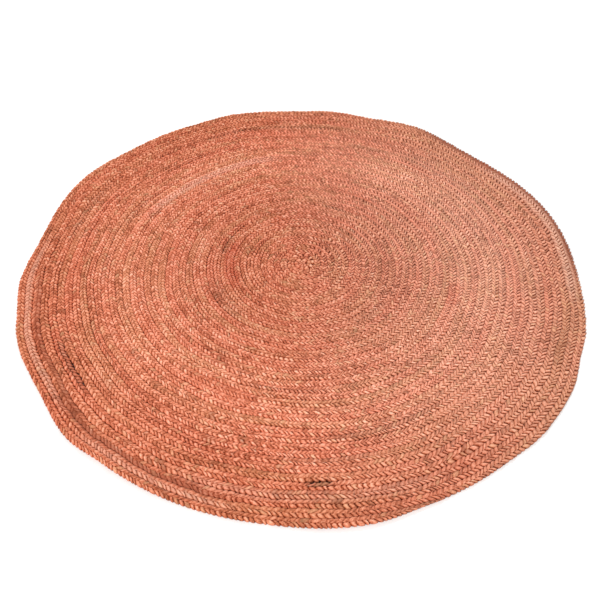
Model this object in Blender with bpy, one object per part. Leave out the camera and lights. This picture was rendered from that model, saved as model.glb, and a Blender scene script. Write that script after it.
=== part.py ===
"""A round rug of one flat jute plait, coiled from the middle outwards and sewn edge to edge.

The rug is one solid. Its top is a true spiral rib: each turn of the plait is flat on top and
falls into a sewn groove on both sides. The outline bulges and flattens as a hand-sewn coil
does, the rim lifts off the floor in a few low waves, and the end of the plait tapers into the
side of the turn before it.
"""

import math

import bmesh
import bpy

# Driving dimensions, in metres
RUG_RADIUS = 0.900
PLAIT_WIDTH = 0.0225
PLAIT_THICKNESS = 0.010
GROOVE_DEPTH = 0.004

# The spiral, counted in turns. The plait's inner edge lies PLAIT_WIDTH x turns from the centre.
FIRST_TURN = 0.5
LAST_TURN = RUG_RADIUS / PLAIT_WIDTH - 0.5
TAIL_END_ANGLE = 294.0
TAIL_TAPER_ANGLE = 12.0

# Straight steps in one turn, doubled twice on the way out so that the facets stay short
STEPS_NEAR_CENTRE = 12
TURNS_BEFORE_DOUBLING = (4, 12)
STEPS_AT_RIM = STEPS_NEAR_CENTRE * 2 ** len(TURNS_BEFORE_DOUBLING)

# Cross-section of a turn, as shares of the plait's width (0 at its inner edge) and thickness.
# Between two grooves its flat top runs from the inner to the outer shoulder.
INNER_SHOULDER = 0.22
OUTER_SHOULDER = 0.78
# The outermost turn has a rounded side instead of an outer groove
EDGE = (0.94, 0.78)
SIDE = (1.00, 0.45)
FOOT = (0.86, 0.00)
# Share of the way out to its groove where the knob at the centre is flat on top
KNOB_SHOULDER = 0.60

# Rings of the underside, as shares of the way out to the rim's foot
UNDERSIDE_RINGS = (0.97, 0.94, 0.90, 0.84, 0.76)

# The outline, one row for each bulge or flat: angle in degrees counter-clockwise from +X,
# and how far the rim stands out (+) or in (-) from RUG_RADIUS, in millimetres
OUTLINE = (
    # angle, out_mm
    (20, 12.0),
    (46, -12.7),
    (61, 8.2),
    (72, -8.3),
    (84, 4.6),
    (92, -4.7),
    (109, 6.6),
    (119, -1.8),
    (132, 2.6),
    (138, 0.0),
    (152, 10.2),
    (175, -14.6),
    (188, 1.0),
    (195, -2.4),
    (202, 3.4),
    (216, -7.2),
    (228, 6.6),
    (236, -3.5),
    (262, -3.0),
    (281, 8.3),
    (292, -3.9),
    (306, -4.6),
    (317, 5.9),
    (328, 6.2),
    (336, -3.4),
    (343, 0.1),
    (354, -5.4),
)
# How fast the outline's unevenness dies away towards the centre
OUTLINE_FADE = 4.0

# Low waves that lift the rim: middle angle and half width in degrees, distance of the crest
# in from the rim, how far the wave runs inwards and outwards of its crest, height in metres
WAVES = (
    # angle, half_width, crest_in, run_in, run_out, height
    (12, 27, 0.030, 0.090, 0.038, 0.0090),
    (62, 22, 0.010, 0.150, 0.060, 0.0050),
    (112, 20, 0.020, 0.120, 0.060, 0.0035),
    (152, 22, 0.015, 0.160, 0.060, 0.0055),
    (208, 20, 0.060, 0.080, 0.055, 0.0040),
    (238, 16, 0.015, 0.120, 0.050, 0.0050),
    (281, 18, 0.015, 0.130, 0.050, 0.0045),
    (326, 20, 0.020, 0.120, 0.060, 0.0040),
)

# Jute dyed coral
COLOUR = (0.644, 0.222, 0.134, 1.0)
ROUGHNESS = 0.90
# Faces that meet at more than this many degrees are shaded with a crisp edge
SHARP_ANGLE = 50.0


def clear_scene():
    for thing in list(bpy.data.objects):
        bpy.data.objects.remove(thing, do_unlink=True)


def jute_material():
    material = bpy.data.materials.new("dyed_jute")
    material.use_nodes = True
    shader = material.node_tree.nodes["Principled BSDF"]
    shader.inputs["Base Color"].default_value = COLOUR
    shader.inputs["Roughness"].default_value = ROUGHNESS
    shader.inputs["Metallic"].default_value = 0.0
    material.diffuse_color = COLOUR
    return material


def eased(share):
    """0 to 1 along a half wave, level at both ends."""
    return 0.5 - 0.5 * math.cos(math.pi * min(max(share, 0.0), 1.0))


def angle_at(turns):
    """Angle in degrees where the spiral is after this many turns."""
    return TAIL_END_ANGLE + 360.0 * (turns - LAST_TURN)


def rim_radius(angle):
    """Radius of the outline, which swings evenly from one row of OUTLINE to the next."""
    angle = angle % 360.0
    rows = [(OUTLINE[-1][0] - 360.0, OUTLINE[-1][1]), *OUTLINE, (OUTLINE[0][0] + 360.0, OUTLINE[0][1])]
    for (from_angle, from_mm), (to_angle, to_mm) in zip(rows, rows[1:]):
        if from_angle <= angle <= to_angle:
            share = (angle - from_angle) / (to_angle - from_angle)
            return RUG_RADIUS + 0.001 * (from_mm + (to_mm - from_mm) * eased(share))
    raise ValueError("OUTLINE does not reach round the rug")


def width_share(turns):
    """Share of the full width that the plait has: 1, falling to 0 along the tapered tail."""
    return min(1.0, (LAST_TURN - turns) * 360.0 / TAIL_TAPER_ANGLE)


def even_rim(angle):
    """Radius that the rim of an evenly laid coil has at this angle."""
    back_from_tail = ((TAIL_END_ANGLE - angle) % 360.0) / 360.0
    turns = LAST_TURN - back_from_tail
    return PLAIT_WIDTH * (turns + width_share(turns))


def lift(x, y):
    """Height of the rug's underside over the floor."""
    angle = math.degrees(math.atan2(y, x))
    from_rim = rim_radius(angle) - math.hypot(x, y)
    height = 0.0
    for middle, half_width, crest_in, run_in, run_out, top in WAVES:
        across = abs((angle - middle + 180.0) % 360.0 - 180.0) / half_width
        inwards = from_rim - crest_in
        along = inwards / run_in if inwards > 0.0 else -inwards / run_out
        height += top * eased(1.0 - across) * eased(1.0 - along)
    return height


def place(turns, across, height):
    """Point over the plait: across is 0 at its inner edge and 1 at its outer edge."""
    angle = angle_at(turns)
    even = PLAIT_WIDTH * (turns + across)
    rim = even_rim(angle)
    uneven = rim_radius(angle) / rim - 1.0
    radius = even * (1.0 + uneven * (even / rim) ** OUTLINE_FADE)
    x = radius * math.cos(math.radians(angle))
    y = radius * math.sin(math.radians(angle))
    return x, y, lift(x, y) + height * PLAIT_THICKNESS


def steps_in_turn(turn):
    """Straight steps in the turn that starts this many whole turns after FIRST_TURN."""
    doublings = sum(turn >= limit for limit in TURNS_BEFORE_DOUBLING)
    return STEPS_NEAR_CENTRE * 2**doublings


def stitch(mesh, inner, outer):
    """Faces between two rows of corners, where the outer row has as many steps or twice as many."""
    if len(outer) == len(inner):
        for i in range(len(inner) - 1):
            face(mesh, inner[i], outer[i], outer[i + 1], inner[i + 1])
        return
    for i in range(len(inner) - 1):
        face(mesh, inner[i], outer[2 * i], outer[2 * i + 1])
        face(mesh, inner[i], outer[2 * i + 1], inner[i + 1])
        face(mesh, inner[i + 1], outer[2 * i + 1], outer[2 * i + 2])


def face(mesh, *corners):
    """One face, or none where its corners fall together on an edge or a point."""
    distinct = [c for i, c in enumerate(corners) if c is not corners[i - 1]]
    if len(distinct) > 2:
        mesh.faces.new(distinct)


def build_rug():
    mesh = bmesh.new()
    groove_height = 1.0 - GROOVE_DEPTH / PLAIT_THICKNESS
    whole_turns = round(LAST_TURN - FIRST_TURN)

    def corner(turns, across, height):
        return mesh.verts.new(place(turns, across, height))

    def spiral_rows(across, height, turn_count):
        """Corners along the spiral, one row for each turn. The end of a row starts the next one."""
        rows = []
        for turn in range(turn_count):
            steps = steps_in_turn(turn)
            start = rows[-1][-1] if rows else corner(FIRST_TURN, across, height)
            rest = [corner(FIRST_TURN + turn + step / steps, across, height) for step in range(1, steps + 1)]
            rows.append([start, *rest])
        return rows

    grooves = spiral_rows(0.0, groove_height, whole_turns)
    inner_shoulders = spiral_rows(INNER_SHOULDER, 1.0, whole_turns - 1)
    outer_shoulders = spiral_rows(OUTER_SHOULDER, 1.0, whole_turns - 1)
    for turn in range(whole_turns - 1):
        stitch(mesh, grooves[turn], inner_shoulders[turn])
        stitch(mesh, inner_shoulders[turn], outer_shoulders[turn])
        stitch(mesh, outer_shoulders[turn], grooves[turn + 1])

    # The outermost turn narrows to nothing where the tail is sewn into the side of the rug
    tail_end = grooves[-1][-1]
    side_end = corner(LAST_TURN, 0.0, SIDE[1])
    foot_end = corner(LAST_TURN, FOOT[0] - SIDE[0], FOOT[1])
    inner = [inner_shoulders[-1][-1]]
    outer = [outer_shoulders[-1][-1]]
    edge = [tail_end]
    side = [side_end]
    foot = [foot_end]
    for step in range(1, STEPS_AT_RIM):
        turns = LAST_TURN - 1.0 + step / STEPS_AT_RIM
        share = width_share(turns)
        inner.append(corner(turns, INNER_SHOULDER * share, 1.0))
        outer.append(corner(turns, OUTER_SHOULDER * share, 1.0))
        edge.append(corner(turns, EDGE[0] * share, EDGE[1]))
        side.append(corner(turns, SIDE[0] * share, SIDE[1]))
        foot.append(corner(turns, share + FOOT[0] - SIDE[0], FOOT[1]))
    inner.append(tail_end)
    outer.append(tail_end)
    edge.append(tail_end)
    side.append(side_end)
    foot.append(foot_end)
    across_rim = (grooves[-1], inner, outer, edge, side, foot)
    for row, next_row in zip(across_rim, across_rim[1:]):
        stitch(mesh, row, next_row)

    # The start of the plait is wound on itself into a knob at the centre
    knob = grooves[0]
    crown = []
    for groove_corner in knob[:-1]:
        x = groove_corner.co.x * KNOB_SHOULDER
        y = groove_corner.co.y * KNOB_SHOULDER
        crown.append(mesh.verts.new((x, y, PLAIT_THICKNESS)))
    centre = mesh.verts.new((0.0, 0.0, PLAIT_THICKNESS))
    for i in range(len(crown) - 1):
        face(mesh, crown[i], knob[i], knob[i + 1], crown[i + 1])
        face(mesh, centre, crown[i], crown[i + 1])
    face(mesh, centre, crown[-1], crown[0])
    face(mesh, crown[-1], knob[-2], knob[0], crown[0])
    face(mesh, knob[-2], inner_shoulders[0][0], knob[0])
    face(mesh, knob[-2], outer_shoulders[0][0], inner_shoulders[0][0])
    face(mesh, knob[-2], knob[-1], outer_shoulders[0][0])

    # The underside follows the waves near the rim and is one flat disc further in
    outer_ring = foot[:-1]
    for share in UNDERSIDE_RINGS:
        ring = []
        for rim_corner in foot[:-1]:
            x = rim_corner.co.x * share
            y = rim_corner.co.y * share
            ring.append(mesh.verts.new((x, y, lift(x, y))))
        for i in range(len(ring)):
            j = (i + 1) % len(ring)
            face(mesh, outer_ring[i], ring[i], ring[j], outer_ring[j])
        outer_ring = ring
    mesh.faces.new(list(reversed(outer_ring)))
    bmesh.ops.recalc_face_normals(mesh, faces=mesh.faces)

    data = bpy.data.meshes.new("braided_rug")
    mesh.to_mesh(data)
    mesh.free()
    data.shade_smooth()
    data.set_sharp_from_angle(angle=math.radians(SHARP_ANGLE))
    data.materials.append(jute_material())
    rug = bpy.data.objects.new("braided_rug", data)
    bpy.context.scene.collection.objects.link(rug)


clear_scene()
build_rug()
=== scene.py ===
import math

import bpy
import numpy as np
from mathutils import Matrix, Vector


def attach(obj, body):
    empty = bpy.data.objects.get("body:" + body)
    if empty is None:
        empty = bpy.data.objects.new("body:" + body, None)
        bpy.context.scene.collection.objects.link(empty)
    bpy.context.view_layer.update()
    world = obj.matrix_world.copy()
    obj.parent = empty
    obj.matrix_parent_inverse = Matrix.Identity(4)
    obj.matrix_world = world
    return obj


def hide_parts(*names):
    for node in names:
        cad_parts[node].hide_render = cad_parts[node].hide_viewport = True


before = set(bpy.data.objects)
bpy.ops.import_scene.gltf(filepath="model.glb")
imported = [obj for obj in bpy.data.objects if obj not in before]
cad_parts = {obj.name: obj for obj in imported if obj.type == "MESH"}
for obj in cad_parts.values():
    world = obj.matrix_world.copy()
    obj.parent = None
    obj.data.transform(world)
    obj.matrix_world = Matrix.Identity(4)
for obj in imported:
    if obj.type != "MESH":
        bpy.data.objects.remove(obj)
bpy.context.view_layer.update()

# ------------------------------------------------------------------------------------------
# The camera stands at the rug's near side, at the height of a standing person's eye, and
# looks down across the whole rug. It is tilted a little to the left, as a hand-held one is.
# ------------------------------------------------------------------------------------------
CAMERA_PLACE = (0.0028, -1.6174, 1.5974)
CAMERA_DOWN_DEG = 47.778
CAMERA_ROLL_DEG = 1.258
CAMERA_LENS_MM = 41.18
SENSOR_MM = 36.0

camera_data = bpy.data.cameras.new("camera")
camera_data.sensor_width = SENSOR_MM
camera_data.lens = CAMERA_LENS_MM
camera = bpy.data.objects.new("camera", camera_data)
bpy.context.scene.collection.objects.link(camera)
camera.matrix_world = (
    Matrix.Translation(CAMERA_PLACE)
    @ Matrix.Rotation(math.radians(90.0 - CAMERA_DOWN_DEG), 4, "X")
    @ Matrix.Rotation(math.radians(CAMERA_ROLL_DEG), 4, "Z")
)
bpy.context.scene.camera = camera
bpy.context.scene.view_settings.view_transform = "Standard"


# ------------------------------------------------------------------------------------------
# The studio: a matt white paper floor, a large soft lamp over the viewer's left shoulder,
# a weaker one from behind, and an even pale surround that fills the shadows.
# ------------------------------------------------------------------------------------------
FLOOR_SIZE = 14.0
FLOOR_DROP = 0.0004
FLOOR_COLOUR = "#FCFCFB"
FLOOR_ROUGHNESS = 0.95
SURROUND_COLOUR = "#FFFFFF"
SURROUND_STRENGTH = 0.55
# name, place, size in metres, watts
LAMPS = (
    ("key_lamp", (-4.9, -8.4, 6.9), 2.4, 1110.0),
    ("back_lamp", (3.0, 8.0, 7.0), 3.4, 530.0),
)


def linear(hex_colour):
    """Linear red, green, blue and alpha of an sRGB colour such as #D98465."""
    shares = [int(hex_colour[i:i + 2], 16) / 255.0 for i in (1, 3, 5)]
    return [s / 12.92 if s <= 0.04045 else ((s + 0.055) / 1.055) ** 2.4 for s in shares] + [1.0]


surround = bpy.data.worlds.new("surround")
bpy.context.scene.world = surround
surround.use_nodes = True
surround_light = surround.node_tree.nodes["Background"]
surround_light.inputs["Color"].default_value = linear(SURROUND_COLOUR)
surround_light.inputs["Strength"].default_value = SURROUND_STRENGTH

for lamp_name, lamp_place, lamp_size, lamp_watts in LAMPS:
    lamp_data = bpy.data.lights.new(lamp_name, "AREA")
    lamp_data.size = lamp_size
    lamp_data.energy = lamp_watts
    lamp = bpy.data.objects.new(lamp_name, lamp_data)
    bpy.context.scene.collection.objects.link(lamp)
    to_rug = (-Vector(lamp_place)).to_track_quat("-Z", "Y").to_matrix().to_4x4()
    lamp.matrix_world = Matrix.Translation(lamp_place) @ to_rug

# Matt uncoated paper: it spreads the light evenly and shows no reflection
paper = bpy.data.materials.new("matt_white_paper")
paper.use_nodes = True
paper_shader = paper.node_tree.nodes["Principled BSDF"]
paper_shader.inputs["Base Color"].default_value = linear(FLOOR_COLOUR)
paper_shader.inputs["Roughness"].default_value = FLOOR_ROUGHNESS
floor_corners = [
    (x * FLOOR_SIZE / 2.0, y * FLOOR_SIZE / 2.0, -FLOOR_DROP)
    for x, y in ((-1, -1), (1, -1), (1, 1), (-1, 1))
]
floor_mesh = bpy.data.meshes.new("paper_floor")
floor_mesh.from_pydata(floor_corners, [], [(0, 1, 2, 3)])
floor_mesh.materials.append(paper)
floor = bpy.data.objects.new("paper_floor", floor_mesh)
bpy.context.scene.collection.objects.link(floor)


# ------------------------------------------------------------------------------------------
# The rug is one flat plait of three jute strands, 113 m long and dyed coral. It is wound
# from the centre outwards, anticlockwise, each turn sewn by hand to the side of the last,
# so that the outline is uneven and the rim waves a little. It lies loose on the floor.
# ------------------------------------------------------------------------------------------
RUG_RADIUS = 0.900
PLAIT_WIDTH = 0.0225
PLAIT_THICKNESS = 0.010
MM = 0.001

# The spiral, counted in turns. The plait's inner edge lies PLAIT_WIDTH x turns from the centre
FIRST_TURN = -0.5
LAST_TURN = RUG_RADIUS / PLAIT_WIDTH - 0.5
TAIL_END_ANGLE = 294.0
TAIL_TAPER_ANGLE = 12.0
# The first turn covers the very centre, and makes way for its own start between these turns
KNOB_OPENS = (0.50, 0.64)
# From this share of the plait's thickness upwards, a corner is on top
TOP_FROM = 0.6

# The outline: angle in degrees anticlockwise from +X, and how far the rim stands out or in, in
# mm. The unevenness dies away towards the centre with this power of the share of the radius
OUTLINE = (
    (20, 12.0), (46, -12.7), (61, 8.2), (72, -8.3), (84, 4.6), (92, -4.7), (109, 6.6),
    (119, -1.8), (132, 2.6), (138, 0.0), (152, 10.2), (175, -14.6), (188, 1.0), (195, -2.4),
    (202, 3.4), (216, -7.2), (228, 6.6), (236, -3.5), (262, -3.0), (281, 8.3), (292, -3.9),
    (306, -4.6), (317, 5.9), (328, 6.2), (336, -3.4), (343, 0.1), (354, -5.4),
)
OUTLINE_FADE = 4.0

# Low waves that lift the rim: middle angle and half width in degrees, distance of the crest
# in from the rim, how far the wave runs inwards and outwards of its crest, height in metres
WAVES = (
    (12, 27, 0.030, 0.090, 0.038, 0.0090),
    (62, 22, 0.010, 0.150, 0.060, 0.0050),
    (112, 20, 0.020, 0.120, 0.060, 0.0035),
    (152, 22, 0.015, 0.160, 0.060, 0.0055),
    (208, 20, 0.060, 0.080, 0.055, 0.0040),
    (238, 16, 0.015, 0.120, 0.050, 0.0050),
    (281, 18, 0.015, 0.130, 0.050, 0.0045),
    (326, 20, 0.020, 0.120, 0.060, 0.0040),
)

# The last turns were laid looser than the rest: the share of the radius where they start, how
# far the turns up to there are drawn in towards the centre, and how much more the seams wander
LOOSE_FROM = 0.80
PULLED_IN = 0.012
LOOSER_SEAMS = 0.7
# Each seam wanders a little to either side, as the hand that sewed it did: wavelength, metres
# off. It does so fully this many turns after the start and before the end
SEAM_WANDER = ((0.173, 0.0007), (0.071, 0.0006), (0.311, 0.0009), (0.047, 0.0004))
WANDER_STARTS = 2.0
WANDER_STOPS = 1.5
# Whole groups of turns wander together: wavelength, direction in degrees, metres off
COIL_WANDER = ((0.61, 20, 0.0022), (0.37, 75, 0.0014), (0.23, 140, 0.0009), (0.47, 110, 0.0018))

# Seams that stand open between two turns: from and to angle, share of the radius, mm open. Each
# opens and closes over a quarter of its length
OPEN_SEAMS = (
    (205, 224, 0.890, 6.0),
    (271, 277, 0.892, 6.0),
    (54, 126, 0.878, 2.2),
    (61, 76, 0.780, 2.2),
    (144, 182, 0.712, 2.0),
    (252, 300, 0.748, 2.2),
    (148, 176, 0.300, 2.0),
    (148, 173, 0.890, 2.0),
    (20, 45, 0.700, 2.0),
)
OPENS_OVER = 4.0
# The stitches close them every 30 mm or so, but were not sewn evenly: how far they slip to and
# fro, in radians of a pitch, and over how many pitches
STITCH_PITCH = 0.030
STITCH_SLIP = 2.4
STITCH_SLIP_PITCHES = 3.7


def eased(share):
    """0 to 1 along a half wave, level at both ends."""
    return 0.5 - 0.5 * np.cos(np.pi * np.clip(share, 0.0, 1.0))


def angle_at(turns):
    """Angle in degrees where the spiral is after this many turns."""
    return TAIL_END_ANGLE + 360.0 * (turns - LAST_TURN)


def turns_at(angle, radius):
    """How many turns the seam has made that passes nearest to this radius at this angle."""
    part = LAST_TURN + (angle - TAIL_END_ANGLE) / 360.0
    return part + round(radius / PLAIT_WIDTH - part)


def off_angle(angle, middle):
    """How many degrees an angle is from the middle one, on either side."""
    return np.abs((angle - middle + 180.0) % 360.0 - 180.0)


def rim_radius(angle):
    """Radius of the outline, which swings evenly from one bulge or flat to the next."""
    angles, out_mm = np.array(OUTLINE, float).T
    angles = np.concatenate(([angles[-1] - 360.0], angles, [angles[0] + 360.0]))
    out_mm = np.concatenate((out_mm[-1:], out_mm, out_mm[:1]))
    angle = angle % 360.0
    row = np.clip(np.searchsorted(angles, angle, side="right") - 1, 0, len(angles) - 2)
    share = (angle - angles[row]) / (angles[row + 1] - angles[row])
    return RUG_RADIUS + MM * (out_mm[row] + (out_mm[row + 1] - out_mm[row]) * eased(share))


def width_share(turns):
    """Share of the full width that the plait has: 1, falling to 0 along the tapered tail."""
    return np.clip((LAST_TURN - turns) * 360.0 / TAIL_TAPER_ANGLE, 0.0, 1.0)


def even_rim(angle):
    """Radius that the rim of an evenly laid coil has at this angle."""
    turns = LAST_TURN - ((TAIL_END_ANGLE - angle) % 360.0) / 360.0
    return PLAIT_WIDTH * (turns + width_share(turns))


def lift(x, y):
    """Height of the rug's underside over the floor."""
    angle = np.degrees(np.arctan2(y, x))
    from_rim = rim_radius(angle) - np.hypot(x, y)
    height = np.zeros_like(x)
    for middle, half_width, crest_in, run_in, run_out, top in WAVES:
        inwards = from_rim - crest_in
        along = np.where(inwards > 0.0, inwards / run_in, -inwards / run_out)
        height += top * eased(1.0 - off_angle(angle, middle) / half_width) * eased(1.0 - along)
    return height


def opening(seam_turns):
    """How far the seam stands open after this many turns, in metres: a row of short holes."""
    wide = np.zeros_like(seam_turns)
    for from_angle, to_angle, share, open_mm in OPEN_SEAMS:
        start = turns_at(from_angle, share * RUG_RADIUS)
        along = (seam_turns - start) / ((to_angle - from_angle) / 360.0)
        wide += MM * open_mm * eased(OPENS_OVER * along) * eased(OPENS_OVER * (1.0 - along))
    run = 2.0 * np.pi * (np.pi * PLAIT_WIDTH * seam_turns**2)
    slip = STITCH_SLIP * np.sin(run / (STITCH_SLIP_PITCHES * STITCH_PITCH))
    between_stitches = 0.5 + 0.5 * np.sin(run / STITCH_PITCH + slip)
    return wide * between_stitches**2


def seam_off(seam_turns):
    """How far the seam lies off its even place after this many turns, in metres."""
    length = np.pi * PLAIT_WIDTH * seam_turns**2
    settled = eased(seam_turns / WANDER_STARTS) * eased((LAST_TURN - seam_turns) / WANDER_STOPS)
    off = np.zeros_like(seam_turns)
    for wavelength, amplitude in SEAM_WANDER:
        off += amplitude * np.sin(2.0 * np.pi * length / wavelength)
    in_loose = (seam_turns / LAST_TURN - LOOSE_FROM) / (1.0 - LOOSE_FROM)
    return off * settled * (1.0 + LOOSER_SEAMS * eased(in_loose))


def place(turns, across, height):
    """Points on the plait: across runs from -1 at its inner edge to 1 at its outer edge."""
    knob_open = (turns - KNOB_OPENS[0]) / (KNOB_OPENS[1] - KNOB_OPENS[0])
    on_top = eased(height / (TOP_FROM * PLAIT_THICKNESS))
    inner = PLAIT_WIDTH * np.maximum(turns, 0.0) * eased(knob_open)
    inner = inner + seam_off(turns) + on_top * opening(turns) / 2.0
    outer = PLAIT_WIDTH * (turns + width_share(turns))
    outer = outer + seam_off(turns + 1.0) - on_top * opening(turns + 1.0) / 2.0
    even = np.maximum(inner + (outer - inner) * (across + 1.0) / 2.0, 0.0)

    angle = angle_at(turns)
    rim = even_rim(angle)
    share = np.clip(even / rim, 0.0, 1.0)
    even = even - PULLED_IN * eased(share / LOOSE_FROM) * eased((1.0 - share) / (1.0 - LOOSE_FROM))
    radius = even * (1.0 + (rim_radius(angle) / rim - 1.0) * share**OUTLINE_FADE)
    outwards_x = np.cos(np.radians(angle))
    outwards_y = np.sin(np.radians(angle))
    x = radius * outwards_x
    y = radius * outwards_y

    # The centre and the rim keep their place, and the turns between them wander
    between = 4.0 * share**2 * (1.0 - share**2)
    off = np.zeros_like(x)
    for wavelength, direction, amplitude in COIL_WANDER:
        heading = math.radians(direction)
        run = x * math.cos(heading) + y * math.sin(heading)
        off += amplitude * np.sin(2.0 * np.pi * run / wavelength + direction)
    x = x + between * off * outwards_x
    y = y + between * off * outwards_y
    return np.stack((x, y, lift(x, y) + height), axis=-1)


# The three strands cross in turn from the left and from the right, and show as two rows of
# slanting lobes. LOBE_SLANT is how far a lobe leans along the plait for each metre across it,
# and at the very start it doesn't lean yet
LOBE_PITCH = 0.0129
LOBE_SLANT = 0.95
SLANT_FULL_AFTER = 0.40
LOBE_GROOVE = 0.0044
LOBE_ROUNDNESS = 2.3
# The plait was pulled tighter at first: its lobes are longer by this share near the rim, from
# this share of the radius on and fully so a tenth farther out
RIM_LOBES_LONGER = 0.10
LONGER_FROM = 0.80
LONGER_OVER = 0.10
# The side sewn tighter: its direction in degrees, and how much the two rows flatten there; the
# side where the lobes stand out more, and by how much
TIGHT_SIDE = (15.0, 0.45)
PLUMP_SIDE = (40.0, 0.33)
# How far the edge draws in between two lobes, as a share of half the width: at a sewn edge and
# at the free rim. The line between the two rows zigzags by this share too
INNER_SCALLOP = 0.03
RIM_SCALLOP = 0.26
MIDDLE_ZIGZAG = 0.15
# Unevenness from lobe to lobe: height and width in metres, place along the plait as a share of
# the pitch, and slant. PITCH_WANDER is the slow change of the pitch: wavelength, share of it
UNEVEN_TOP = 0.0012
UNEVEN_SIDE = 0.0009
UNEVEN_PITCH = 0.15
UNEVEN_SLANT = 0.14
PITCH_WANDER = ((0.83, 0.05), (0.37, 0.04), (2.9, 0.04))
# One row slips slowly along the other, by this share of the pitch, over this many lobes
ROWS_SLIP = 0.45
SLIP_LOBES = 7

# Cross-section of the plait: across from -1 to 1, height as a share of its thickness, and how
# much of the groove between two lobes shows there
SECTION = (
    (-1.00, 0.78, 0.80),
    (-0.76, 0.94, 0.95),
    (-0.46, 1.00, 1.00),
    (0.00, 0.78, 0.70),
    (0.46, 1.00, 1.00),
    (0.76, 0.94, 0.95),
    (1.00, 0.78, 0.80),
    (0.99, 0.00, -0.30),
    (-0.99, 0.00, -0.30),
)
# Corners of the section: the crests of the inner and outer row, the middle between them, and
# the outer foot. Past EDGE_FROM across, a corner is on the plait's edge. Where the groove shows
# by more than CREST_SHOWS, the corner is on a crest
INNER_CREST, MIDDLE, OUTER_CREST, OUTER_FOOT = 2, 3, 4, 7
EDGE_FROM = 0.7
CREST_SHOWS = 0.9
RINGS_PER_LOBE = 6
SEED = 11


def build_plait():
    """Corners of the whole plait, ring by ring, and what the dye and the bumps need to know."""
    rng = np.random.default_rng(SEED)
    across, height, groove = np.array(SECTION).T
    outer_side = (across > 0.0).astype(int)[None, :]
    length = np.pi * PLAIT_WIDTH * (LAST_TURN - FIRST_TURN) ** 2
    # A tenth more rings than an even plait needs: the ones past its end are left out at last
    rings = int(1.1 * length / LOBE_PITCH * RINGS_PER_LOBE)
    ring = np.arange(rings)[:, None]
    lobe = ring / RINGS_PER_LOBE + 0.5 * outer_side
    full = 1.0 - np.abs(2.0 * (lobe % 1.0) - 1.0) ** LOBE_ROUNDNESS
    full[:, MIDDLE] = 0.5 * (full[:, INNER_CREST] + full[:, OUTER_CREST])
    zigzag = full[:, INNER_CREST] - full[:, OUTER_CREST]

    step = LOBE_PITCH / RINGS_PER_LOBE
    radius_share = np.sqrt(step * ring / length)
    steps = step * (1.0 + RIM_LOBES_LONGER * eased((radius_share - LONGER_FROM) / LONGER_OVER))
    for wavelength, change in PITCH_WANDER:
        steps = steps * (1.0 + change * np.sin(2.0 * np.pi * step * ring / wavelength))
    even_along = np.cumsum(steps, axis=0) - step
    last_ring = int(np.searchsorted(even_along[:, 0], length))

    def uneven(most, lobes_each=1):
        """A value for every one or few lobes, fading into the next one's, on both rows."""
        drawn = rng.normal(0.0, most, (rings // RINGS_PER_LOBE // lobes_each + 3, 2))
        drawn_at = np.arange(len(drawn)) * lobes_each
        inner_row = np.interp(lobe[:, INNER_CREST], drawn_at, drawn[:, 0])
        outer_row = np.interp(lobe[:, OUTER_CREST], drawn_at, drawn[:, 1])
        spread = np.where(outer_side == 1, outer_row[:, None], inner_row[:, None])
        spread[:, MIDDLE] = 0.5 * (inner_row + outer_row)
        return spread

    on_ring = even_along + LOBE_PITCH * (uneven(UNEVEN_PITCH) + uneven(ROWS_SLIP, SLIP_LOBES))
    at_rim = (even_along > length - 2.0 * np.pi * RUG_RADIUS) & (across > EDGE_FROM)
    at_edge = np.abs(across) > EDGE_FROM
    scallop = np.where(at_rim, RIM_SCALLOP, INNER_SCALLOP) * (1.0 - full) * at_edge
    across_now = across * (1.0 - scallop)
    across_now += (at_rim | ~at_edge) * uneven(UNEVEN_SIDE) / (PLAIT_WIDTH / 2.0) * (height > 0.0)
    across_now[:, MIDDLE] += MIDDLE_ZIGZAG * zigzag

    slant = (LOBE_SLANT + uneven(UNEVEN_SLANT)) * eased(even_along / SLANT_FULL_AFTER)
    along = on_ring + slant * np.abs(across_now) * PLAIT_WIDTH / 2.0
    # The last corners stop a hair before the end, where the width is 0
    along = np.clip(along, 0.0, length * 0.99999)
    turns = np.sqrt(along / (np.pi * PLAIT_WIDTH)) + FIRST_TURN

    tight = 1.0 - TIGHT_SIDE[1] * np.cos(np.radians(angle_at(turns) - TIGHT_SIDE[0]))
    plump = 1.0 + PLUMP_SIDE[1] * np.cos(np.radians(angle_at(turns) - PLUMP_SIDE[0]))
    z = PLAIT_THICKNESS * np.where(height > 0.0, 1.0 - (1.0 - height) * tight, 0.0)
    z = z - LOBE_GROOVE * plump * groove * (1.0 - full)
    z = z + uneven(UNEVEN_TOP) * full * (groove > CREST_SHOWS)
    values = {
        "points": place(turns, across_now, z),
        "along": along,
        "on_ring": on_ring,
        "across": across_now,
        "lobes_on": ring / RINGS_PER_LOBE + 0.0 * across,
        "turns": turns,
    }
    return {name: value[:last_ring] for name, value in values.items()}


plait = build_plait()

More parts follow.
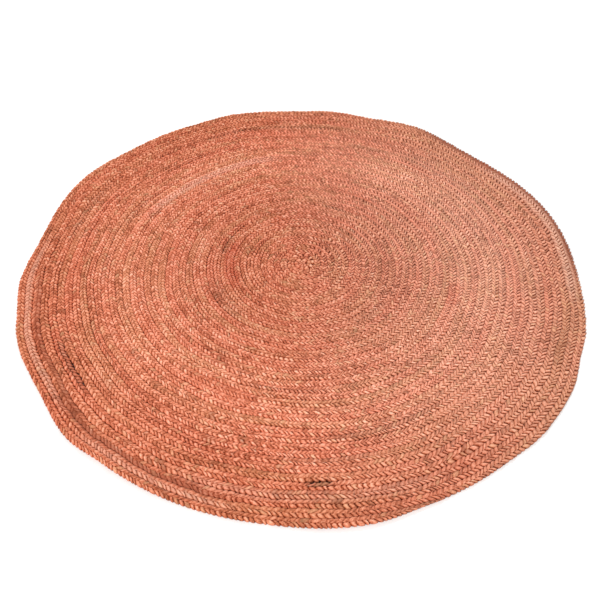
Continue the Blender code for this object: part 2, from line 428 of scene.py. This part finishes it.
# Marks: from and to angle, share of the radius, rows of lobes wide, kind, strength.
# Dark is a pitted darkening, mostly along the open seams, red is another dye lot, pale is paler yarn
# and on the right rim a painted highlight on the lit crest of the wave, shade is painted shade along
# the rim, strongest on the outer slope of the right-hand wave
MARKS = (
    (205, 224, 0.890, 1.0, "dark", 1.00),
    (271, 277, 0.892, 1.2, "dark", 1.00),
    (72, 126, 0.876, 1.2, "dark", 0.60),
    (148, 176, 0.890, 1.4, "dark", 0.50),
    (274, 306, 0.745, 1.4, "dark", 0.55),
    (250, 281, 0.577, 1.2, "dark", 0.45),
    (263, 288, 0.820, 1.4, "dark", 0.50),
    (144, 166, 0.714, 1.4, "dark", 0.45),
    (176, 191, 0.722, 1.4, "dark", 0.45),
    (150, 174, 0.300, 1.4, "dark", 0.60),
    (61, 78, 0.343, 1.4, "dark", 0.60),
    (61, 76, 0.780, 1.4, "dark", 0.45),
    (193, 236, 0.335, 3.6, "dark", 0.35),
    (20, 62, 0.800, 3.0, "dark", 0.25),
    (300, 330, 0.340, 2.4, "dark", 0.30),
    (150, 218, 0.270, 3.2, "red", 1.00),
    (100, 122, 0.500, 2.0, "red", 0.60),
    (232, 262, 0.620, 2.0, "red", 0.60),
    (338, 352, 0.560, 3.0, "red", 0.60),
    (170, 226, 0.970, 1.4, "pale", 0.70),
    (226, 262, 0.978, 1.2, "pale", 0.60),
    # painted highlight on the lit crest of the wave at the right rim
    (346, 42, 0.960, 2.4, "pale", 1.00),
    (95, 162, 0.650, 2.6, "pale", 0.50),
    (244, 300, 0.930, 2.0, "pale", 0.35),
    # painted shade on the outer slope of that wave, which faces away from the key lamp
    (350, 66, 0.988, 2.4, "shade", 1.00),
    (216, 262, 0.956, 1.2, "shade", 0.80),
    (180, 232, 0.940, 1.2, "shade", 0.60),
    (276, 345, 0.995, 1.4, "shade", 0.50),
)
MARK_KINDS = ("dark", "red", "pale", "shade")
# A mark fades over 1 / 2.5 of the way from each end to its middle, and sideways from 0.6 to 1.6
# times half its width
MARK_ENDS = 2.5
MARK_SIDES = 1.6

share_out = PLAIT_WIDTH * (plait["turns"] + (plait["across"] + 1.0) / 2.0) / RUG_RADIUS
for kind in MARK_KINDS:
    plait[kind] = np.zeros_like(share_out)
for from_angle, to_angle, middle_share, rows_wide, kind, strength in MARKS:
    half_width = 0.5 * rows_wide * PLAIT_WIDTH / 2.0 / RUG_RADIUS
    swing = ((to_angle - from_angle) % 360.0) / 2.0
    endwise = 1.0 - off_angle(angle_at(plait["turns"]), from_angle + swing) / swing
    sideways = MARK_SIDES - np.abs(share_out - middle_share) / half_width
    plait[kind] += strength * eased(MARK_ENDS * endwise) * eased(sideways)
for kind in MARK_KINDS:
    plait[kind] = np.clip(plait[kind], 0.0, 1.0)

# Dyed jute, plaited: a soft, matt bast fibre with a faint sheen. The dye took unevenly, so each
# strand runs from deep rust to pale coral, with undyed tan flecks and some dark ends
# Its colour also carries painted shade in the creases, a painted highlight on each lobe's crown, a
# painted sheen on the right-hand side, and painted shade and highlight at the rim
jute = bpy.data.materials.new("dyed_jute_plait")
jute.use_nodes = True
jute_shader = jute.node_tree.nodes["Principled BSDF"]
jute_shader.inputs["Roughness"].default_value = 0.88
jute_shader.inputs["Specular IOR Level"].default_value = 0.12
jute_shader.inputs["Sheen Weight"].default_value = 0.03
jute_shader.inputs["Sheen Roughness"].default_value = 0.5

MATHS = "ShaderNodeMath"
VECTOR_MATHS = "ShaderNodeVectorMath"
COMBINE = "ShaderNodeCombineXYZ"
SEPARATE = "ShaderNodeSeparateXYZ"
NOISE = "ShaderNodeTexNoise"
CHANCE = "ShaderNodeTexWhiteNoise"
RANGE = "ShaderNodeMapRange"
RAMP = "ShaderNodeValToRGB"
MIX = "ShaderNodeMix"
# Where a mix of two colours has its inputs and its output
SHARE, COLOUR_A, COLOUR_B, COLOUR_OUT = 0, 6, 7, 2


def add(kind, inputs=(), output=0, stops=(), **settings):
    """Adds a node to the jute, with its settings, its inputs as values or links in their order
    or by name, and a ramp's stops. Gives one of its outputs."""
    node = jute.node_tree.nodes.new(kind)
    for name, value in settings.items():
        setattr(node, name, value)
    keyed = inputs.items() if isinstance(inputs, dict) else enumerate(inputs)
    for key, value in keyed:
        if isinstance(value, bpy.types.NodeSocket):
            jute.node_tree.links.new(value, node.inputs[key])
        else:
            node.inputs[key].default_value = value
    while stops and len(node.color_ramp.elements) < len(stops):
        node.color_ramp.elements.new(1.0)
    for number, (position, colour) in enumerate(stops):
        node.color_ramp.elements[number].position = position
        node.color_ramp.elements[number].color = linear(colour)
    return node.outputs[output]


# What is known at each point of the plait: metres along it, how far across it, how many lobes
# and turns on, which lobe and which of the three strands, and the marks
ON_CORNERS = ("along", "on_ring", "across", "lobes_on", "turns") + MARK_KINDS
ON_FACES = ("lobe", "strand")
here = {}
for name in ON_CORNERS + ON_FACES:
    here[name] = add("ShaderNodeAttribute", output="Fac", attribute_name=name)
here["outer_row"] = add(MATHS, (here["across"], 0.0), operation="GREATER_THAN")
# The direction from the centre, and which line along the plait is nearest: each turn has two
position = add("ShaderNodeTexCoord", output="Object")
direction = add(VECTOR_MATHS, (position,), operation="NORMALIZE")
here["to_right"] = add(SEPARATE, (direction,), output="X")
here["to_back"] = add(SEPARATE, (direction,), output="Y")
lines_on = add(MATHS, (here["turns"], 2.0, here["across"]), operation="MULTIPLY_ADD")
here["line"] = add(MATHS, (lines_on,), operation="ROUND")

# Patterns in the yarn: what each one follows, how often it changes along that, and its detail.
# Along the plait it is so many times a metre: 3.2 is once in 310 mm, 9 once in 110 mm, and 190,
# 240 and 1100 are once in 5, 4 and 1 mm. Slubs are really 2 mm long and fibres 0.05 mm thick:
# they are drawn coarser, to show
PATTERNS = (
    ("strand_tone", ("along", "strand"), (3.2, 101.44, 0.0), 3.0),
    ("row_tone", ("along", "outer_row"), (3.2, 55.36, 0.0), 2.0),
    ("slub", ("on_ring", "across", "lobe"), (240.0, 3.0, 1.7), 2.0),
    ("ragged", ("on_ring", "across"), (190.0, 2.2, 0.0), 1.0),
    ("fibre", ("on_ring", "across", "lobe"), (1100.0, 1.6, 3.1), 3.0),
    ("loose_arc", ("to_right", "to_back", "line"), (2.6, 2.6, 9.62), 2.0),
    ("dye_lot", ("to_right", "to_back", "turns"), (1.9, 1.9, 0.608), 4.0),
    ("hue", ("to_back", "to_right", "turns"), (1.6, 1.6, 0.88), 3.0),
    ("end", ("along", "strand"), (9.0, 513.9, 0.0), 2.0),
)
for name, follows, changes, detail in PATTERNS:
    followed = add(COMBINE, [here[source] for source in follows])
    scaled = add(VECTOR_MATHS, (followed, changes), operation="MULTIPLY")
    here[name] = add(NOISE, {"Vector": scaled, "Scale": 1.0, "Detail": detail})

# Each lobe's own tone, how dark the painted shade in the hole beside it is, and whether it is an
# undyed fleck
for name, times in (("own_tone", 1.0), ("depth", 0.377), ("fleck", 0.731)):
    lobe_number = add(MATHS, (here["lobe"], times), operation="MULTIPLY")
    here[name] = add(CHANCE, {"W": lobe_number}, noise_dimensions="1D")

# The gap between two lobes, 1 in its middle and 0 on the crown, with ragged sides
in_lobe = add(MATHS, (here["outer_row"], 0.5, here["lobes_on"]), operation="MULTIPLY_ADD")
raggedness = add(MATHS, (here["ragged"], 0.36, -0.18), operation="MULTIPLY_ADD")
in_lobe = add(MATHS, (in_lobe, raggedness), operation="ADD")
in_lobe = add(MATHS, (in_lobe,), operation="FRACT")
gap = add(MATHS, (in_lobe, 2.0, -1.0), operation="MULTIPLY_ADD")
gap = add(MATHS, (gap,), operation="ABSOLUTE")
# The side of its row, 1 at the lines along the plait and 0 in the middle of the row
unevenness = add(MATHS, (here["slub"], 0.30, -0.15), operation="MULTIPLY_ADD")
from_middle = add(MATHS, (here["across"],), operation="ABSOLUTE")
from_middle = add(MATHS, (from_middle, unevenness), operation="ADD")
side = add(MATHS, (from_middle, 2.0, -1.0), operation="MULTIPLY_ADD")
side = add(MATHS, (side,), operation="ABSOLUTE")
side_squared = add(MATHS, (side, 2.0), operation="POWER")
# A strand is three yarns side by side, each of its own tone
yarn = add(MATHS, (in_lobe, 3.0), operation="MULTIPLY")
yarn = add(MATHS, (yarn,), operation="FLOOR")
yarn = add(MATHS, (here["lobe"], 3.0, yarn), operation="MULTIPLY_ADD")
here["yarn_tone"] = add(CHANCE, {"W": yarn}, noise_dimensions="1D")

# Towards the viewer and on the plump side, the outer row of each turn gets stronger painted groove
# shade and crown highlight, and the inner row weaker
PLUMP_TOWARDS = (0.77, 0.64, 0.0)
NEAR_TOWARDS = (0.26, -0.966, 0.0)
plumpness = add(VECTOR_MATHS, (direction, PLUMP_TOWARDS), output="Value", operation="DOT_PRODUCT")
plump_part = add(MATHS, (plumpness, 0.0), operation="MAXIMUM")
plump_part = add(MATHS, (plump_part, 2.0), operation="POWER")
near_part = add(VECTOR_MATHS, (direction, NEAR_TOWARDS), output="Value", operation="DOT_PRODUCT")
near_part = add(MATHS, (near_part, 0.0), operation="MAXIMUM")
row_relief_share = add(MATHS, (here["outer_row"], 0.90, -0.52), operation="MULTIPLY_ADD")
painted_relief_strength = add(MATHS, (plump_part, 0.8, near_part), operation="MULTIPLY_ADD")
painted_relief_strength = add(MATHS, (painted_relief_strength, row_relief_share, 1.0), operation="MULTIPLY_ADD")

# The painted shade in the groove between two lobes is darkest in the middle of its row, and deeper on
# the plump side
groove = add(MATHS, (gap, 3.2), operation="POWER")
plump_groove_shade = add(MATHS, (plumpness, 0.34, 0.82), operation="MULTIPLY_ADD")
middle_groove_shade = add(MATHS, (side_squared, -0.15, 1.0), operation="MULTIPLY_ADD")
for deeper in (plump_groove_shade, middle_groove_shade, painted_relief_strength):
    groove = add(MATHS, (groove, deeper), operation="MULTIPLY")
# The lines along the plait get dark painted shade here and there, for an arc of 10 to 30 degrees,
# more so on the left. A dotted one: it is darkest where it meets a groove
line_shade = add(MATHS, (side, 3.0), operation="POWER")
arc = add(RANGE, (here["loose_arc"], 0.50, 0.68, 0.16, 1.15), interpolation_type="SMOOTHSTEP")
left_side = add(RANGE, (here["to_right"], 1.0, -1.0, 0.10, 1.15))
dotted = add(MATHS, (gap, 0.7, 0.3), operation="MULTIPLY_ADD")
for deeper in (arc, left_side, dotted):
    line_shade = add(MATHS, (line_shade, deeper), operation="MULTIPLY")
# Where both meet there is a hole between the strands, painted as deep shade, darker at some lobes
# than at others
hole = add(MATHS, (gap, side), operation="ADD")
hole = add(RANGE, (hole, 1.35, 1.80, 0.0, 1.0), interpolation_type="SMOOTHSTEP")
hole_shade = add(MATHS, (here["depth"], 4.0), operation="POWER")
hole_shade = add(MATHS, (hole_shade, 0.9, 0.24), operation="MULTIPLY_ADD")
# All the painted crease shade together, at most full
crease_shade = add(MATHS, (groove, line_shade), operation="ADD")
crease_shade = add(MATHS, (hole, hole_shade, crease_shade), operation="MULTIPLY_ADD")
crease_shade = add(MATHS, (crease_shade, 1.0), operation="MINIMUM")
# Under the rim's painted shade, the painted crease shade is weaker, down to half
less_crease_shade_on_rim = add(MATHS, (here["shade"], -0.5, 1.0), operation="MULTIPLY_ADD")
crease_shade = add(MATHS, (crease_shade, less_crease_shade_on_rim), operation="MULTIPLY")

# A painted highlight on the crown of each lobe, stronger on some lobes than on others
crown = add(MATHS, (1.0, gap), operation="SUBTRACT")
mid_row = add(MATHS, (1.0, side_squared), operation="SUBTRACT")
highlight_strength = add(MATHS, (here["own_tone"], 0.26, 0.06), operation="MULTIPLY_ADD")
for paler in (mid_row, painted_relief_strength, highlight_strength):
    crown = add(MATHS, (crown, paler), operation="MULTIPLY")
here["crown"] = crown

# The tone, from 0, deep rust, to 1, pale coral: what it is where every pattern is at its
# lowest, and how much each adds. The slubs add most at the right
LOWEST_TONE = -0.59
TONE_SHARES = (
    ("own_tone", 0.24),
    ("yarn_tone", 0.14),
    ("strand_tone", 0.16),
    ("row_tone", 0.52),
    ("dye_lot", 0.30),
    ("fibre", 0.50),
    # the painted highlight on each lobe's crown
    ("crown", 1.00),
)
DYE = (
    (0.00, "#8F4A30"),
    (0.22, "#C36F50"),
    (0.45, "#EC9373"),
    (0.70, "#FDB194"),
    (1.00, "#FFCDB2"),
)
tone = LOWEST_TONE
for name, most in TONE_SHARES:
    tone = add(MATHS, (here[name], most, tone), operation="MULTIPLY_ADD")
slub_share = add(MATHS, (here["to_right"], 0.30, 1.45), operation="MULTIPLY_ADD")
slub_swing = add(MATHS, (here["slub"], 0.5), operation="SUBTRACT")
tone = add(MATHS, (slub_swing, slub_share, tone), operation="MULTIPLY_ADD")
colour = add(RAMP, (tone,), stops=DYE)

# The right-hand side is painted paler, a painted sheen across that side
SHEEN_TOWARDS = (0.98, 0.10, 0.0)
painted_sheen = add(VECTOR_MATHS, (position, SHEEN_TOWARDS), output="Value", operation="DOT_PRODUCT")
here["painted_sheen"] = add(RANGE, (painted_sheen, -0.10, 0.65, 0.0, 1.0))
# One lot took the dye more towards olive tan, the next more towards red
here["tan_lot"] = add(RANGE, (here["hue"], 0.48, 0.68, 0.0, 1.0))
here["red_lot"] = add(RANGE, (here["hue"], 0.50, 0.32, 0.0, 1.0))
# One lobe in 17 is an undyed fleck. Single strands have dark ends, the more so near the rim
here["fleck"] = add(MATHS, (here["fleck"], 0.94), operation="GREATER_THAN")
dark_end = add(MATHS, (here["turns"], 0.0011, here["end"]), operation="MULTIPLY_ADD")
here["dark_end"] = add(RANGE, (dark_end, 0.61, 0.72, 0.0, 1.0))
# The dark marks are pitted: darkest where the painted crease shade is and beside the slubs
pits = add(MATHS, (here["slub"], 3.2, -0.8), operation="MULTIPLY_ADD")
in_crease_shade = add(MATHS, (crease_shade, 1.4, 0.30), operation="MULTIPLY_ADD")
pits = add(MATHS, (pits, in_crease_shade), operation="MULTIPLY")
here["pits"] = add(MATHS, (here["dark"], pits), operation="MULTIPLY")
# Each tint, how much of it there is at most, and its colour
TINTS = (
    # painted sheen over the right-hand side
    ("painted_sheen", 0.36, "#F2CCB7"),
    ("tan_lot", 0.24, "#CFA477"),
    ("red_lot", 0.20, "#E87A60"),
    ("fleck", 0.28, "#EBC39A"),
    ("dark_end", 0.50, "#8A5236"),
    ("pits", 1.00, "#4E2A18"),
    ("red", 0.45, "#CF5A40"),
    ("pale", 0.50, "#F6D2C2"),
    # painted shade along the rim
    ("shade", 0.75, "#9A5844"),
)
for name, most, tint in TINTS:
    share = add(MATHS, (here[name], most), operation="MULTIPLY")
    inputs = {SHARE: share, COLOUR_A: colour, COLOUR_B: linear(tint)}
    colour = add(MIX, inputs, output=COLOUR_OUT, data_type="RGBA")

# Rings of yarn from one dye bath after another, from the centre to the rim, and the painted
# shade in the creases, from none to deep
BATHS = (
    (0.00, "#F0EAE6"),
    (0.30, "#F0EAE8"),
    (0.64, "#FFFFFF"),
    (0.80, "#F6EEEA"),
    (0.90, "#EEE2DA"),
    (1.00, "#EAE0D6"),
)
CREASE_SHADES = (
    (0.00, "#FFFFFF"),
    (0.30, "#DFC8B9"),
    (0.60, "#B88868"),
    (1.00, "#6E3A22"),
)
ring_share = add(MATHS, (here["turns"], LAST_TURN + 1.0), operation="DIVIDE")
for followed, stops in ((ring_share, BATHS), (crease_shade, CREASE_SHADES)):
    stain = add(RAMP, (followed,), stops=stops)
    inputs = {SHARE: 1.0, COLOUR_A: colour, COLOUR_B: stain}
    colour = add(MIX, inputs, output=COLOUR_OUT, data_type="RGBA", blend_type="MULTIPLY")
jute.node_tree.links.new(colour, jute_shader.inputs["Base Color"])

# Fibres stand up by 0.7 mm at most
bump = add("ShaderNodeBump", {"Height": here["fibre"], "Strength": 0.6, "Distance": 0.0007})
jute.node_tree.links.new(bump, jute_shader.inputs["Normal"])

# The plait is made in five lengths, each one piece that starts where the last one ends
PIECES = 5
# The map for the bake: the plait lies on it in strips side by side, each with a margin, and the
# two end faces share one pixel. The strips are as long as all of them together are wide, with
# this length once around the plait
AROUND_PLAIT = 2.0 * PLAIT_WIDTH + 1.4 * PLAIT_THICKNESS
STRIP_MARGIN = 0.03
BAKE_PIXELS = 1024
ring_total, corners_each = plait["along"].shape
ring_cuts = np.linspace(0, ring_total - 1, PIECES + 1).astype(int)

for number in range(PIECES):
    first, last = ring_cuts[number], ring_cuts[number + 1]
    rings = slice(first, last + 1)
    ring_count = last - first + 1
    points = plait["points"][rings].reshape(-1, 3)
    ring, corner = np.meshgrid(np.arange(ring_count - 1), np.arange(corners_each), indexing="ij")
    next_corner = (corner + 1) % corners_each
    this_ring = ring * corners_each
    next_ring = this_ring + corners_each
    quads = np.stack(
        (this_ring + corner, this_ring + next_corner, next_ring + next_corner, next_ring + corner), -1
    )
    start_face = np.arange(corners_each)[::-1]
    end_face = (ring_count - 1) * corners_each + np.arange(corners_each)
    face_corners = np.concatenate((quads.ravel(), start_face, end_face))
    quad_count = quads.size // 4
    face_starts = np.concatenate(
        (np.arange(quad_count) * 4, quad_count * 4 + np.array([0, corners_each]))
    )

    mesh = bpy.data.meshes.new(f"plait_{number + 1}")
    mesh.vertices.add(len(points))
    mesh.vertices.foreach_set("co", points.astype(np.float32).ravel())
    mesh.loops.add(len(face_corners))
    mesh.loops.foreach_set("vertex_index", face_corners.astype(np.int32))
    mesh.polygons.add(quad_count + 2)
    mesh.polygons.foreach_set("loop_start", face_starts.astype(np.int32))
    mesh.update(calc_edges=True)

    for name in ON_CORNERS:
        layer = mesh.attributes.new(name, "FLOAT", "POINT")
        layer.data.foreach_set("value", plait[name][rings].astype(np.float32).ravel())

    # Each face belongs to one lobe, and each lobe to one of the three strands
    on_outer = ((corner >= MIDDLE) & (corner < OUTER_FOOT)).astype(float)
    whole = np.floor((first + ring) / RINGS_PER_LOBE + 0.5 * on_outer)
    for name, values in zip(ON_FACES, (2.0 * whole + on_outer, (whole + 2.0 * on_outer) % 3.0)):
        layer = mesh.attributes.new(name, "FLOAT", "FACE")
        with_ends = np.concatenate((values.ravel(), [0.0, 0.0]))
        layer.data.foreach_set("value", with_ends.astype(np.float32))

    strip_length = float(plait["on_ring"][last].mean() - plait["on_ring"][first].mean())
    strips = round(math.sqrt(strip_length / AROUND_PLAIT))
    rings_per_strip = math.ceil((ring_count - 1) / strips)
    strip = ring // rings_per_strip
    left = (ring - strip * rings_per_strip) / rings_per_strip
    right = left + 1.0 / rings_per_strip
    strip_height = 1.0 - 2.0 * STRIP_MARGIN
    low = (strip + STRIP_MARGIN + strip_height * corner / corners_each) / strips
    high = (strip + STRIP_MARGIN + strip_height * (corner + 1) / corners_each) / strips
    face_map = np.stack((left, low, left, high, right, high, right, low), -1).reshape(-1, 2)
    end_map = np.full((2 * corners_each, 2), 0.5 / BAKE_PIXELS)
    layer = mesh.uv_layers.new(name="OFBake")
    layer.data.foreach_set("uv", np.concatenate((face_map, end_map)).astype(np.float32).ravel())

    mesh.shade_smooth()
    mesh.materials.append(jute)
    piece = bpy.data.objects.new(f"plait_{number + 1}", mesh)
    bpy.context.scene.collection.objects.link(piece)
    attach(piece, "root")
    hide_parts("braided_rug")
